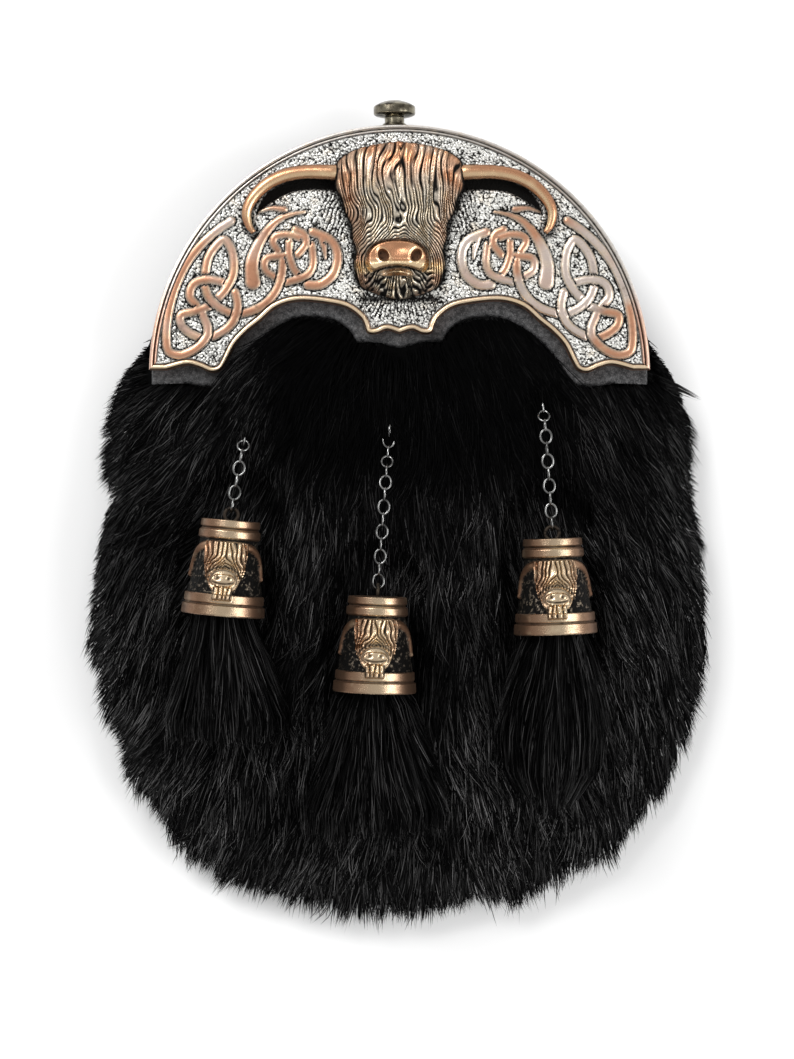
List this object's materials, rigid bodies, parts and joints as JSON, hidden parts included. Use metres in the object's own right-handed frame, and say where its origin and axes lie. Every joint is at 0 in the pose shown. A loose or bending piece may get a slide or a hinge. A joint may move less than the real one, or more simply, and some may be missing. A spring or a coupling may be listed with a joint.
{
  "type": "sporran pouch",
  "caption": "Semicircular metal-topped leather pouch covered in deep fur, with a horned head relief, a press knob, and chains that carry bells and fur tassels.",
  "frame": {"origin": "on the flat underside of the back panel, where the pouch lies on its back", "axes": "+X to the wearer's left as the picture's right, +Y up the pouch to the knob, +Z out of its front"},
  "size_m": [0.1872, 0.2495, 0.0554],
  "materials": {
    "fur": "long black rabbit fur",
    "leather": "grained black leather",
    "pewter": "antiqued cast pewter",
    "copper": "antiqued copper plate",
    "brass": "aged nickel brass",
    "steel": "bright steel"
  },
  "bodies": {
    "pouch": {"back_panel": "leather", "bag_shell": "leather", "belt_loop_left": "leather", "belt_loop_right": "leather", "fur_pelt": "fur", "cantle_backing": "leather", "cantle": "pewter", "cow_head": "copper", "catch_housing": "brass", "chain_anchor_left": "steel", "chain_left": "steel", "bell_left": "copper", "tassel_left": "fur", "chain_anchor_middle": "steel", "chain_middle": "steel", "bell_middle": "copper", "tassel_middle": "fur", "chain_anchor_right": "steel", "chain_right": "steel", "bell_right": "copper", "tassel_right": "fur"},
    "knob": {"catch_knob": "brass"}
  },
  "joints": [
    {"name": "knob_press", "type": "slide", "parent": "pouch", "child": "knob", "axis": [0, -1, 0], "range_m": [0, 0.0017], "stiffness_N_per_m": 400}
  ]
}
